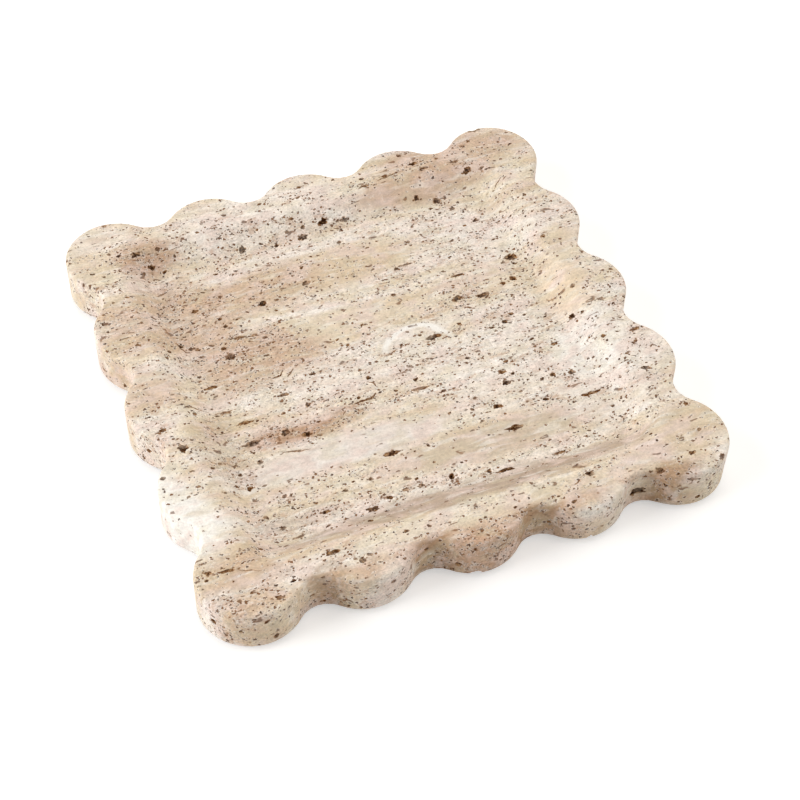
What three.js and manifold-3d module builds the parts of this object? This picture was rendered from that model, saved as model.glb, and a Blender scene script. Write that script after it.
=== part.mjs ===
// A square serving tray carved from one slab of unfilled travertine. Its edge is scalloped with round
// lobes, its top is hollowed into a shallow recess with sloping walls, and it stands on low rubber feet,
// each held under a corner lobe by a disc of adhesive.
// Millimetres, +Z up. The origin is under the middle of the tray, on the surface that it stands on.
// +X runs along the front edge to the right, and +Y runs from the front edge to the back.

import * as THREE from "three";
import { mergeVertices } from "three/addons/utils/BufferGeometryUtils.js";
import Module from "manifold-3d";

// Slab outline: round lobes in a square, with concave valleys between them
const lobesPerSide = 5;
const lobePitch = 45;
const lobeRadius = 21;
const valleyRadius = 11;

// Slab section
const slabThickness = 20;
const slabEdgeRounding = 1.5;

// Recess in the top of the slab, straight-sided in plan
const recessDepth = 7.5;
const recessWallRun = 11.5;
const recessSetback = 0.5; // how far the top of the wall lies inside the line of lobe centres
const recessFloorCorner = 5;
const recessFloorFillet = 8;
const recessRimRounding = 9;

// The cavities that open to the top, where the stone was already hollow: middle in plan, half
// length along the stone's beds, which run along X, and half width across them, which is also their depth
const cavities = [
  // Back rim and the wall below it
  [54, 98, 2.2, 1.2], [57, 93.5, 2.4, 0.9], [72, 92.5, 2.4, 1], [76, 86.5, 1.8, 1.6],
  [-81, 87.5, 2.4, 1.5], [4, 82, 2, 1.8], [13.5, 80.5, 2.2, 1.4], [-7, 78, 2.4, 1.7],
  [58, 78, 2, 1.4], [-76, 81.5, 1.8, 1.4],
  // Back half of the floor
  [-16, 51, 2, 1.3], [-37.5, 46, 2.2, 1.6], [28.5, 45.5, 2.6, 0.7], [74, 33, 3, 2],
  [46.5, 31, 2.6, 0.8], [-47, 29.5, 2.4, 0.8], [-60.5, 21.5, 2.6, 1.6], [42, 18, 3, 1.6],
  [52.5, 16, 3, 1.3], [69.5, 20.5, 1.8, 1.4], [-73.5, 8, 2.8, 0.8], [23, 1, 3.6, 1.6],
  // Front half of the floor
  [-72, -7, 3, 0.7], [-47, -6.5, 2.2, 1], [-66, -15, 2.8, 1], [6.5, -24, 4, 0.9],
  [-67, -26.5, 3, 1.7], [-53, -26, 2, 1.7], [-45, -30, 2.2, 1.5], [41, -34, 1.8, 1.4],
  [69, -38.5, 2, 1.3], [32.5, -44.5, 2, 1.2],
  [-17, -51.5, 3.2, 1.3], [71, -52, 4, 1], [34.5, -57.5, 3.2, 1.4], [-34.5, -75, 2.8, 1.3],
  [22.5, -76, 3.4, 1.1], [46, -76, 2.6, 0.8], [-65.5, -77, 3, 0.7],
  // Rims on the right, the left and the front
  [96, -11, 2, 0.8], [101, -32, 2.4, 0.9], [95, -53.5, 2, 1.3], [91, -100.5, 2.4, 0.9],
  [-95, -25, 2.2, 1.8], [49, -95, 2, 1.3], [-58, -93.5, 2.8, 1], [-97.5, -87, 2.8, 0.9],
  [-83, -105.5, 2.4, 1],
  // Lesser ones in the back half
  [28, 92, 1.8, 0.8], [39, 95, 1.6, 0.8], [82.5, 85, 1.8, 0.9], [-35, 79.5, 1.7, 1.5],
  [49, 81.5, 1.3, 1.4], [69, 60.5, 1.4, 1.1], [-66, 52, 1.6, 1], [64, 19.5, 1.5, 1],
  [-54, 30.5, 1.6, 0.8], [-74, 31.5, 1.5, 1], [89.5, 33.5, 1.6, 1], [-95.5, 35, 1.4, 0.8],
  // Lesser ones in the front half
  [-39.5, -15, 1.4, 1.2], [69.5, -21.5, 1.6, 1.1], [42, -28, 1.3, 1], [61, -37, 1.2, 1],
  [-75.5, -47.5, 1.4, 1], [-52, -69.5, 1.6, 1], [-12.5, -71, 1.8, 1], [-19, -70.5, 1.6, 0.9],
  [0.5, -71, 1.3, 1.6], [15.5, -74, 1.2, 1.1], [82, -12, 1.6, 1.4], [98, -38.5, 1.6, 0.9],
  [92, -43, 1.6, 0.8], [101, -77, 1.2, 0.8], [-99.5, -13, 1.6, 0.9], [-104.5, -85.5, 1.6, 1],
  [-82, -80, 2.4, 0.7], [-49, -101, 1.3, 1.2],
];

// Chips out of the edges and hollows in the sides: middle, with its height above the underside, half
// length and half width
const chips = [
  [75, -104, slabThickness, 2.4, 1.5], [101.5, -106.5, slabThickness, 2, 1.3],
  [89.5, 110, slabThickness, 3, 1.6], [-5.5, -109.5, 0.5, 3, 2], [43.5, -111.5, 0.5, 2.6, 1.6],
  [67.5, -101.5, 8, 4.2, 2.2],
];

// Feet and the adhesive discs above them
const footDiameter = 14;
const footHeight = 2;
const footEdgeRounding = 0.5;
const adhesiveThickness = 0.25;
const adhesiveSetback = 0.5; // how far the adhesive stays inside the foot's edge

// Fineness of the facets
const outlineFacetAngle = THREE.MathUtils.degToRad(10);
const slabEdgeSteps = 2;
const recessCornerSteps = 6;
const recessBlendSteps = 4;
const footFacets = 24;
const footEdgeSteps = 3;

// Colours and finishes
const stoneFinish = { color: 0xe3d2bd, roughness: 0.75, metalness: 0 };
const footFinish = { color: 0xd9d6cf, roughness: 0.55, metalness: 0 };
const adhesiveFinish = { color: 0xeceae4, roughness: 0.5, metalness: 0 };

// Places worked out from the sizes above
const cornerLobeOffset = (lobePitch * (lobesPerSide - 1)) / 2;
const adhesiveBottom = footHeight;
const slabBottom = adhesiveBottom + adhesiveThickness;
const recessFloorHeight = slabThickness - recessDepth;
const recessFloorHalfWidth = cornerLobeOffset - recessSetback - recessWallRun;
const recessWallAngle = Math.atan2(recessDepth, recessWallRun);

const wasm = await Module();
wasm.setup();

// Points on an arc from one angle to another, without the last one, which the next arc starts with.
function arcPoints(centre, radius, startAngle, endAngle) {
  const steps = Math.ceil(Math.abs(endAngle - startAngle) / outlineFacetAngle);
  const points = [];
  for (let step = 0; step < steps; step += 1) {
    const angle = startAngle + ((endAngle - startAngle) * step) / steps;
    points.push(new THREE.Vector2(Math.cos(angle), Math.sin(angle)).multiplyScalar(radius).add(centre));
  }
  return points;
}

// Lobe centres in order around the tray, anticlockwise from the front left corner.
function lobeCentres() {
  const centres = [];
  const origin = new THREE.Vector2();
  for (let side = 0; side < 4; side += 1) {
    for (let lobe = 0; lobe < lobesPerSide - 1; lobe += 1) {
      const centre = new THREE.Vector2(lobe * lobePitch - cornerLobeOffset, -cornerLobeOffset);
      centres.push(centre.rotateAround(origin, (side * Math.PI) / 2));
    }
  }
  return centres;
}

// Centre of the concave arc that runs smoothly from one lobe into the next.
function valleyCentre(lobe, nextLobe) {
  const along = nextLobe.clone().sub(lobe);
  const halfGap = along.length() / 2;
  const outward = new THREE.Vector2(along.y, -along.x).normalize();
  const reach = Math.sqrt((lobeRadius + valleyRadius) ** 2 - halfGap ** 2);
  return lobe.clone().add(nextLobe).multiplyScalar(0.5).addScaledVector(outward, reach);
}

function angleTo(from, to) {
  return Math.atan2(to.y - from.y, to.x - from.x);
}

// The whole scalloped outline: each lobe turns anticlockwise and each valley turns back.
function scallopedOutline() {
  const lobes = lobeCentres();
  const valleys = lobes.map((lobe, index) => valleyCentre(lobe, lobes[(index + 1) % lobes.length]));
  const points = [];
  lobes.forEach((lobe, index) => {
    const nextLobe = lobes[(index + 1) % lobes.length];
    const valleyBefore = valleys[(index + valleys.length - 1) % valleys.length];
    const valley = valleys[index];
    const lobeStart = angleTo(lobe, valleyBefore);
    const lobeTurn = THREE.MathUtils.euclideanModulo(angleTo(lobe, valley) - lobeStart, 2 * Math.PI);
    const valleyStart = angleTo(valley, lobe);
    const valleyTurn = THREE.MathUtils.euclideanModulo(valleyStart - angleTo(valley, nextLobe), 2 * Math.PI);
    points.push(...arcPoints(lobe, lobeRadius, lobeStart, lobeStart + lobeTurn));
    points.push(...arcPoints(valley, valleyRadius, valleyStart, valleyStart - valleyTurn));
  });
  return new THREE.Shape(points);
}

function scallopedSlab() {
  const geometry = new THREE.ExtrudeGeometry(scallopedOutline(), {
    depth: slabThickness - 2 * slabEdgeRounding,
    bevelThickness: slabEdgeRounding,
    bevelSize: slabEdgeRounding,
    bevelOffset: -slabEdgeRounding,
    bevelSegments: slabEdgeSteps,
  });
  return geometry.translate(0, 0, slabEdgeRounding);
}

// Section of the recess from its floor to above the slab: each point holds how far it lies outside the
// floor's edge and how high it is above the floor. The wall meets the floor in a fillet and the top of
// the slab in a rounded rim.
function recessSection() {
  const filletReach = recessFloorFillet * Math.tan(recessWallAngle / 2);
  const rimReach = recessRimRounding * Math.tan(recessWallAngle / 2);
  const section = [];
  for (let step = 0; step <= recessBlendSteps; step += 1) {
    const angle = (recessWallAngle * step) / recessBlendSteps;
    const outward = recessFloorFillet * Math.sin(angle) - filletReach;
    section.push(new THREE.Vector2(outward, recessFloorFillet * (1 - Math.cos(angle))));
  }
  for (let step = 0; step <= recessBlendSteps; step += 1) {
    const angle = recessWallAngle * (1 - step / recessBlendSteps);
    const outward = recessWallRun + rimReach - recessRimRounding * Math.sin(angle);
    section.push(new THREE.Vector2(outward, recessDepth - recessRimRounding * (1 - Math.cos(angle))));
  }
  section.push(new THREE.Vector2(recessWallRun + rimReach, recessDepth + slabThickness));
  return section;
}

// A square with rounded corners, as points at one height, anticlockwise from above.
function roundedSquareRing(halfWidth, cornerRadius, height) {
  const ring = [];
  const inset = halfWidth - cornerRadius;
  for (let corner = 0; corner < 4; corner += 1) {
    const middleAngle = Math.PI / 4 + (corner * Math.PI) / 2;
    const centreX = Math.sign(Math.cos(middleAngle)) * inset;
    const centreY = Math.sign(Math.sin(middleAngle)) * inset;
    for (let step = 0; step <= recessCornerSteps; step += 1) {
      const angle = (corner + step / recessCornerSteps) * (Math.PI / 2);
      const x = centreX + cornerRadius * Math.cos(angle);
      const y = centreY + cornerRadius * Math.sin(angle);
      ring.push(new THREE.Vector3(x, y, height));
    }
  }
  return ring;
}

// A closed body through a stack of rings, lowest first, with flat ends.
function loft(rings) {
  const count = rings[0].length;
  const last = (rings.length - 1) * count;
  const faces = [];
  for (let level = 0; level < last; level += count) {
    for (let point = 0; point < count; point += 1) {
      const next = (point + 1) % count;
      faces.push(level + point, level + next, level + count + next);
      faces.push(level + point, level + count + next, level + count + point);
    }
  }
  for (let point = 1; point < count - 1; point += 1) {
    faces.push(0, point + 1, point);
    faces.push(last, last + point, last + point + 1);
  }
  return new THREE.BufferGeometry().setFromPoints(rings.flat()).setIndex(faces);
}

// The material that is carved away to make the recess.
function recessBody() {
  const sharpest = recessFloorCorner / recessCornerSteps;
  const rings = recessSection().map((point) => {
    const corner = Math.max(recessFloorCorner + point.x, sharpest);
    return roundedSquareRing(recessFloorHalfWidth + point.x, corner, recessFloorHeight + point.y);
  });
  return loft(rings);
}

function toSolid(geometry) {
  const bare = geometry.clone();
  bare.deleteAttribute("normal");
  bare.deleteAttribute("uv");
  const merged = mergeVertices(bare);
  const vertProperties = new Float32Array(merged.attributes.position.array);
  const triVerts = new Uint32Array(merged.index.array);
  return new wasm.Manifold(new wasm.Mesh({ numProp: 3, vertProperties, triVerts }));
}

function toGeometry(solid) {
  const { vertProperties, triVerts } = solid.getMesh();
  const geometry = new THREE.BufferGeometry();
  geometry.setAttribute("position", new THREE.BufferAttribute(vertProperties, 3));
  geometry.setIndex(new THREE.BufferAttribute(triVerts, 1));
  geometry.computeVertexNormals();
  return geometry;
}

// Height of the slab's top above its underside, with the blends at the foot and rim of the recess left out.
function surfaceHeight(x, y) {
  const inset = recessFloorHalfWidth - recessFloorCorner;
  const pastX = Math.max(Math.abs(x) - inset, 0);
  const pastY = Math.max(Math.abs(y) - inset, 0);
  const outside = Math.hypot(pastX, pastY) - recessFloorCorner;
  return recessFloorHeight + recessDepth * THREE.MathUtils.clamp(outside / recessWallRun, 0, 1);
}

function cavityBody(x, y, height, halfLength, halfWidth) {
  const lump = new THREE.IcosahedronGeometry(1).scale(halfLength, halfWidth, halfWidth);
  return toSolid(lump.translate(x, y, height));
}

function slabGeometry() {
  const carved = [toSolid(recessBody())];
  for (const [x, y, halfLength, halfWidth] of cavities) {
    carved.push(cavityBody(x, y, surfaceHeight(x, y), halfLength, halfWidth));
  }
  for (const chip of chips) {
    carved.push(cavityBody(...chip));
  }
  return toGeometry(carved.reduce((stone, lump) => stone.subtract(lump), toSolid(scallopedSlab())));
}

// A low round foot with its lower edge rounded, standing on its flat underside.
function footGeometry() {
  const radius = footDiameter / 2;
  const profile = [new THREE.Vector2(0, 0)];
  for (let step = 0; step <= footEdgeSteps; step += 1) {
    const angle = (Math.PI / 2) * (step / footEdgeSteps);
    const outward = radius - footEdgeRounding * (1 - Math.sin(angle));
    profile.push(new THREE.Vector2(outward, footEdgeRounding * (1 - Math.cos(angle))));
  }
  profile.push(new THREE.Vector2(radius, footHeight));
  profile.push(new THREE.Vector2(0, footHeight));
  return new THREE.LatheGeometry(profile, footFacets).rotateX(Math.PI / 2);
}

function adhesiveGeometry() {
  const radius = footDiameter / 2 - adhesiveSetback;
  const disc = new THREE.CylinderGeometry(radius, radius, adhesiveThickness, footFacets);
  return disc.rotateX(Math.PI / 2).translate(0, 0, adhesiveThickness / 2);
}

function makePiece(name, geometry, finish) {
  const piece = new THREE.Mesh(geometry, new THREE.MeshStandardMaterial(finish));
  piece.name = name;
  return piece;
}

const tray = new THREE.Group();

const slab = makePiece("travertine_slab", slabGeometry(), stoneFinish);
slab.position.z = slabBottom;
tray.add(slab);

for (const [depthName, depthSign] of [["front", -1], ["back", 1]]) {
  for (const [sideName, sideSign] of [["left", -1], ["right", 1]]) {
    const x = sideSign * cornerLobeOffset;
    const y = depthSign * cornerLobeOffset;
    const foot = makePiece(`foot_${depthName}_${sideName}`, footGeometry(), footFinish);
    foot.position.set(x, y, 0);
    tray.add(foot);
    const adhesive = makePiece(`adhesive_${depthName}_${sideName}`, adhesiveGeometry(), adhesiveFinish);
    adhesive.position.set(x, y, adhesiveBottom);
    tray.add(adhesive);
  }
}

export default tray;
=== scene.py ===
import math
import random

import bmesh
import bpy
import numpy as np
from mathutils import Matrix, Vector, geometry, noise
from mathutils.bvhtree import BVHTree


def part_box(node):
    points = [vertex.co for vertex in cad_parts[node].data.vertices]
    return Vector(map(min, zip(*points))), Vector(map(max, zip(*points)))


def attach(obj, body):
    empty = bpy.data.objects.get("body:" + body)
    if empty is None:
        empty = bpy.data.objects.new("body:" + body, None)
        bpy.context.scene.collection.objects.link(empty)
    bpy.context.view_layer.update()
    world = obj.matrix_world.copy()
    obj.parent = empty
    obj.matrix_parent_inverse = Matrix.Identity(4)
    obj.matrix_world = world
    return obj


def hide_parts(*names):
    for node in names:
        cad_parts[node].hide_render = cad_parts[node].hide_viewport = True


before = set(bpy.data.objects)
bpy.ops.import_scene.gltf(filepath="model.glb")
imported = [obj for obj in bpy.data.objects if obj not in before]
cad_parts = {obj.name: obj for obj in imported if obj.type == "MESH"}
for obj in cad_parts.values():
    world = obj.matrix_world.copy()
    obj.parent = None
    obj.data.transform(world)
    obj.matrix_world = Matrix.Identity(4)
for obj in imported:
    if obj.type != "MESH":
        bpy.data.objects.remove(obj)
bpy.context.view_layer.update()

# Slab
# One slab of unfilled travertine, sawn to a scalloped outline and hollowed from above with a shaped
# cutter, then rubbed smooth by hand, which leaves its faces slightly uneven and its edges eased.
# The stone's own pores are left open all over it.

MM = 0.001
slab_low, slab_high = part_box("travertine_slab")
slab_thickness = slab_high.z - slab_low.z
lobes_per_side = 5
lobe_pitch = 45 * MM
lobe_radius = 21 * MM
valley_radius = 11 * MM
slab_edge_rounding = 1.5 * MM
recess_depth = 7.5 * MM
recess_wall_run = 11.5 * MM
recess_setback = 0.5 * MM
recess_floor_corner = 5 * MM
recess_floor_fillet = 8 * MM
recess_rim_rounding = 9 * MM
corner_lobe_offset = lobe_pitch * (lobes_per_side - 1) / 2


def lobe_centres():
    """Centres of the lobes, anticlockwise from the front left corner."""
    centres = []
    for side in range(4):
        turn = Matrix.Rotation(side * math.pi / 2, 2)
        for lobe in range(lobes_per_side - 1):
            centres.append(turn @ Vector((lobe * lobe_pitch - corner_lobe_offset, -corner_lobe_offset)))
    return centres


def valley_centre(lobe, next_lobe):
    """Centre of the concave arc that runs smoothly from one lobe into the next."""
    along = next_lobe - lobe
    outward = Vector((along.y, -along.x)).normalized()
    reach = math.sqrt((lobe_radius + valley_radius) ** 2 - (along.length / 2) ** 2)
    return (lobe + next_lobe) / 2 + outward * reach


def arc_points(centre, radius, start, turn, full_radius, spacing):
    """Points along an arc, without its last one, spaced as they are where the arc has its full radius."""
    steps = max(3, round(abs(turn) * full_radius / spacing))
    angles = [start + turn * step / steps for step in range(steps)]
    return [centre + radius * Vector((math.cos(angle), math.sin(angle))) for angle in angles]


def scalloped_ring(inset, spacing):
    """The tray's outline, drawn in by the inset, as a ring of points."""
    lobes = lobe_centres()
    count = len(lobes)
    valleys = [valley_centre(lobes[index], lobes[(index + 1) % count]) for index in range(count)]
    ring = []
    for index, lobe in enumerate(lobes):
        to_last = valleys[index - 1] - lobe
        to_next = valleys[index] - lobe
        start = math.atan2(to_last.y, to_last.x)
        turn = (math.atan2(to_next.y, to_next.x) - start) % (2 * math.pi)
        ring += arc_points(lobe, lobe_radius - inset, start, turn, lobe_radius, spacing)
        from_lobe = lobe - valleys[index]
        to_lobe = lobes[(index + 1) % count] - valleys[index]
        start = math.atan2(from_lobe.y, from_lobe.x)
        turn = (start - math.atan2(to_lobe.y, to_lobe.x)) % (2 * math.pi)
        ring += arc_points(valleys[index], valley_radius + inset, start, -turn, valley_radius, spacing)
    return ring


def square_ring(half_width, corner_radius, side_steps, corner_steps):
    """A square with rounded corners, as a ring of points."""
    inset = half_width - corner_radius
    ring = []
    for side in range(4):
        turn = Matrix.Rotation(side * math.pi / 2, 2)
        for step in range(corner_steps):
            angle = math.pi / 2 * step / corner_steps
            x = inset + corner_radius * math.cos(angle)
            y = inset + corner_radius * math.sin(angle)
            ring.append(turn @ Vector((x, y)))
        for step in range(side_steps):
            ring.append(turn @ Vector((inset * (1 - 2 * step / side_steps), half_width)))
    return ring


def inside(points, ring):
    """Which of the points lie inside the ring."""
    x, y = points[:, 0], points[:, 1]
    crossed = np.zeros(len(points), bool)
    for index, end in enumerate(ring):
        start = ring[index - 1]
        height = end[1] - start[1]
        if height:
            spans = (start[1] > y) != (end[1] > y)
            crossed ^= spans & (x < start[0] + (end[0] - start[0]) * (y - start[1]) / height)
    return crossed


def fill_flat(mesh, height, outer, holes, spacing):
    """Even triangles over the flat area inside one ring and outside the holes."""
    least_edge_distance = 0.6 * spacing
    rings = [np.array(ring) for ring in [outer, *holes]]
    reach = np.abs(rings[0]).max()
    rows = np.arange(-reach, reach, spacing * math.sqrt(3) / 2)
    columns = np.arange(-reach, reach, spacing)
    grid = np.array([(x + spacing / 2 * (row % 2), y) for row, y in enumerate(rows) for x in columns])

    def within(points):
        found = inside(points, rings[0])
        for hole in rings[1:]:
            found &= ~inside(points, hole)
        return found

    grid = grid[within(grid)]
    edge_points = np.concatenate(rings)
    nearest = np.array([np.hypot(*(edge_points - point).T).min() for point in grid])
    grid = grid[nearest > least_edge_distance]
    points = [Vector(point) for point in [*edge_points, *grid]]
    edges = []
    first = 0
    for ring in rings:
        edges += [(first + index, first + (index + 1) % len(ring)) for index in range(len(ring))]
        first += len(ring)
    same_point = 1e-9
    found, _, triangles, *_ = geometry.delaunay_2d_cdt(points, edges, [], 0, same_point)
    kept = within(np.array(found)[np.array(triangles)].mean(1))
    corners = [mesh.verts.new((point.x, point.y, height)) for point in found]
    for triangle, keep in zip(triangles, kept):
        if keep:
            mesh.faces.new([corners[index] for index in triangle])


def bridge(mesh, rings):
    """Walls of quads through a stack of rings of (points, height), all with as many points."""
    rows = [[mesh.verts.new((point.x, point.y, height)) for point in ring] for ring, height in rings]
    for low, high in zip(rows, rows[1:]):
        for index in range(len(low)):
            mesh.faces.new((low[index - 1], low[index], high[index], high[index - 1]))


def finished(mesh, name):
    """A mesh that is being edited, turned into plain mesh data."""
    made = bpy.data.meshes.new(name)
    mesh.to_mesh(made)
    mesh.free()
    return made


def recess_section(blend_steps, wall_steps):
    """How far outside the floor's edge, and how high above the floor, each step up the recess lies."""
    slope = math.atan2(recess_depth, recess_wall_run)
    fillet_reach = recess_floor_fillet * math.tan(slope / 2)
    rim_reach = recess_rim_rounding * math.tan(slope / 2)
    foot = []
    rim = []
    for step in range(blend_steps + 1):
        angle = slope * step / blend_steps
        foot.append(Vector((
            recess_floor_fillet * math.sin(angle) - fillet_reach,
            recess_floor_fillet * (1 - math.cos(angle)),
        )))
        rim.append(Vector((
            recess_wall_run + rim_reach - recess_rim_rounding * math.sin(slope - angle),
            recess_depth - recess_rim_rounding * (1 - math.cos(slope - angle)),
        )))
    wall = [foot[-1].lerp(rim[0], step / wall_steps) for step in range(1, wall_steps)]
    return foot + wall + rim


def hand_rubbed(mesh):
    """Leaves every face but the underside slightly uneven, as hand rubbing does."""
    hair = 0.01 * MM
    broad, fine = 20 * MM, 6 * MM
    broad_depth, fine_depth = 0.16 * MM, 0.05 * MM
    mesh.normal_update()
    for corner in mesh.verts:
        if corner.co.z > slab_low.z + hair:
            swell = broad_depth * noise.noise(corner.co / broad) + fine_depth * noise.noise(corner.co / fine)
            corner.co += corner.normal * swell


def slab_mesh():
    """The slab with no pores."""
    mesh = bmesh.new()
    edge_steps = 5
    wall_steps = 7
    point_spacing = 2.8 * MM
    flat_spacing = 3.2 * MM
    underside_spacing = 6 * MM
    bottom, top = slab_low.z, slab_high.z
    rings = []
    for step in range(edge_steps + 1):
        angle = math.pi / 2 * step / edge_steps
        inset = slab_edge_rounding * (1 - math.sin(angle))
        rings.append((inset, bottom + slab_edge_rounding * (1 - math.cos(angle))))
    plain_wall = slab_thickness - 2 * slab_edge_rounding
    for step in range(1, wall_steps):
        rings.append((0, bottom + slab_edge_rounding + plain_wall * step / wall_steps))
    for step in range(edge_steps + 1):
        angle = math.pi / 2 * (1 - step / edge_steps)
        inset = slab_edge_rounding * (1 - math.sin(angle))
        rings.append((inset, top - slab_edge_rounding * (1 - math.cos(angle))))
    bridge(mesh, [(scalloped_ring(inset, point_spacing), height) for inset, height in rings])

    floor_half = corner_lobe_offset - recess_setback - recess_wall_run
    floor_height = top - recess_depth
    steps = []
    for outward, height in recess_section(blend_steps=5, wall_steps=4):
        ring = square_ring(floor_half + outward, recess_floor_corner + outward, side_steps=60, corner_steps=6)
        steps.append((ring[::-1], floor_height + height))
    bridge(mesh, steps)

    edge_ring = scalloped_ring(slab_edge_rounding, point_spacing)
    fill_flat(mesh, bottom, edge_ring, [], underside_spacing)
    fill_flat(mesh, top, edge_ring, [steps[-1][0]], flat_spacing)
    fill_flat(mesh, floor_height, steps[0][0], [], flat_spacing)
    bmesh.ops.remove_doubles(mesh, verts=mesh.verts, dist=0.001 * MM)
    bmesh.ops.recalc_face_normals(mesh, faces=mesh.faces)
    hand_rubbed(mesh)
    return finished(mesh, "slab")


def paint(red, green, blue):
    """A colour as it is seen, in steps from 0 to 255, turned into the light values that a shader takes."""
    seen = [step / 255 for step in (red, green, blue)]
    light = [value / 12.92 if value < 0.04045 else ((value + 0.055) / 1.055) ** 2.4 for value in seen]
    return (*light, 1)


cream = paint(232, 216, 194)
warm_cream = paint(236, 213, 184)
tan = paint(219, 197, 168)
dull_tan = paint(210, 191, 170)
warm_tan = paint(207, 177, 152)
# A greyer tan that paints shade on the recess walls and in the creases at their feet.
painted_shade_tan = paint(181, 160, 142)
pale = paint(244, 233, 223)
white = paint(251, 247, 241)
dull_white = paint(235, 224, 216)
stain = paint(188, 150, 121)
# A brown that paints the shade in the hollows between the front lobes.
brown = paint(172, 134, 98)
pink = paint(232, 210, 200)
pale_pink = paint(244, 229, 219)
olive = paint(216, 205, 176)

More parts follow.
